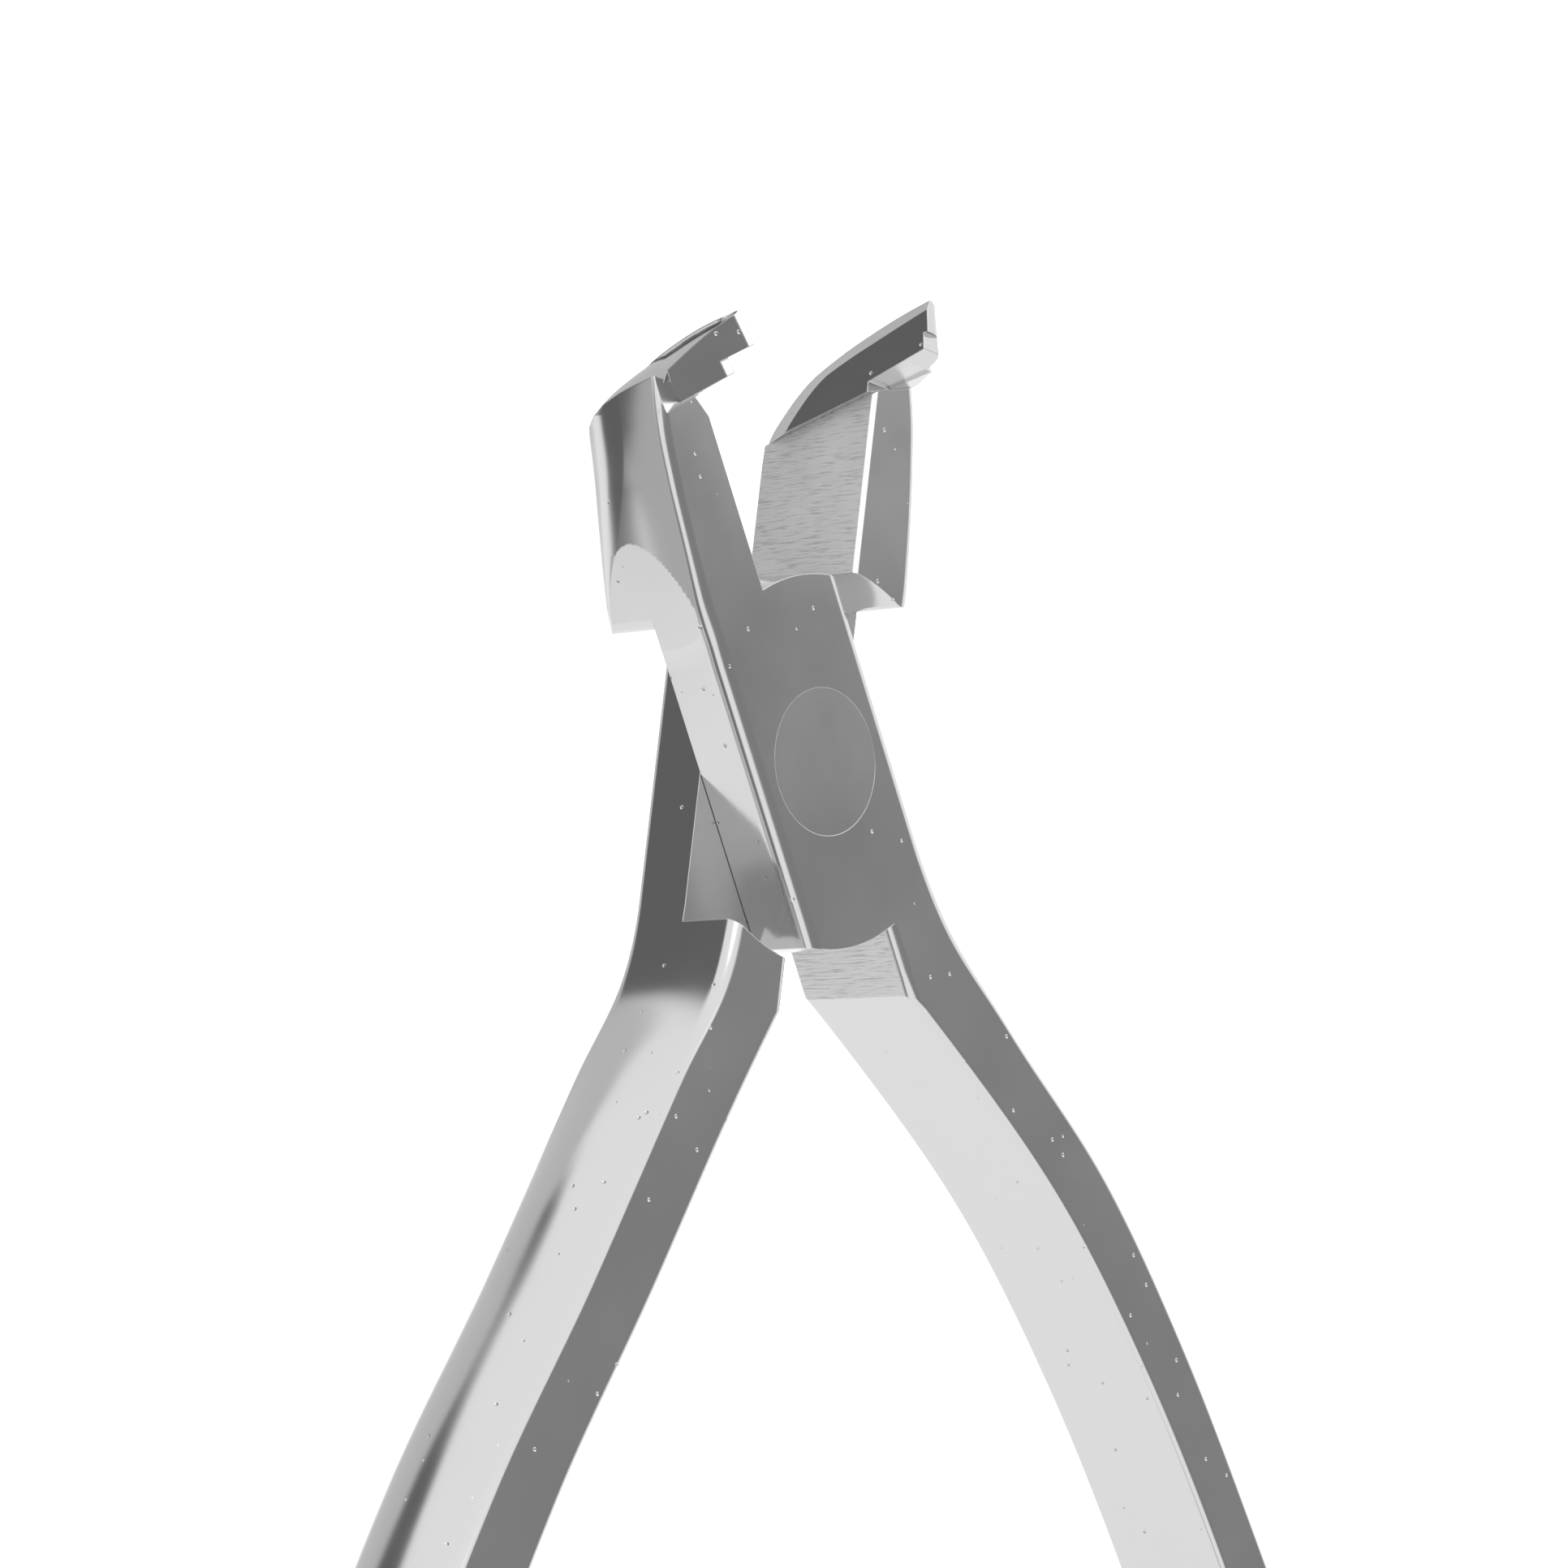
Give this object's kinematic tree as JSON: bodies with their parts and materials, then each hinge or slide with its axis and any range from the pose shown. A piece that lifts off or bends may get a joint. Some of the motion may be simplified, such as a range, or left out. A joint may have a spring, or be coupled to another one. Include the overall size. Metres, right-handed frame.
{
  "type": "crimping pliers",
  "caption": "Lap-joint crimping pliers in polished steel with narrow jaws, two brazed tips bent forward, one notched, and long bowed handles.",
  "frame": {"origin": "on the pivot axis, in the plane of the flat back face", "axes": "+Z along the pivot axis out of the front face, +Y along the closing line towards the jaws, +X to the right seen from the front"},
  "size_m": [0.0825, 0.1213, 0.0098],
  "materials": {
    "polished_steel": "polished",
    "rivet_steel": "polished",
    "tip_steel": "ground"
  },
  "bodies": {
    "front": {"front_half": "polished_steel", "hooked_tip_insert": "tip_steel", "pivot_rivet": "rivet_steel"},
    "back": {"back_half": "polished_steel", "plain_tip_insert": "tip_steel"}
  },
  "joints": [
    {"name": "pivot", "type": "hinge", "parent": "front", "child": "back", "pos_m": [0, 0, 0.0032], "axis": [0, 0, 1], "range_deg": [-8, 34.2]}
  ]
}
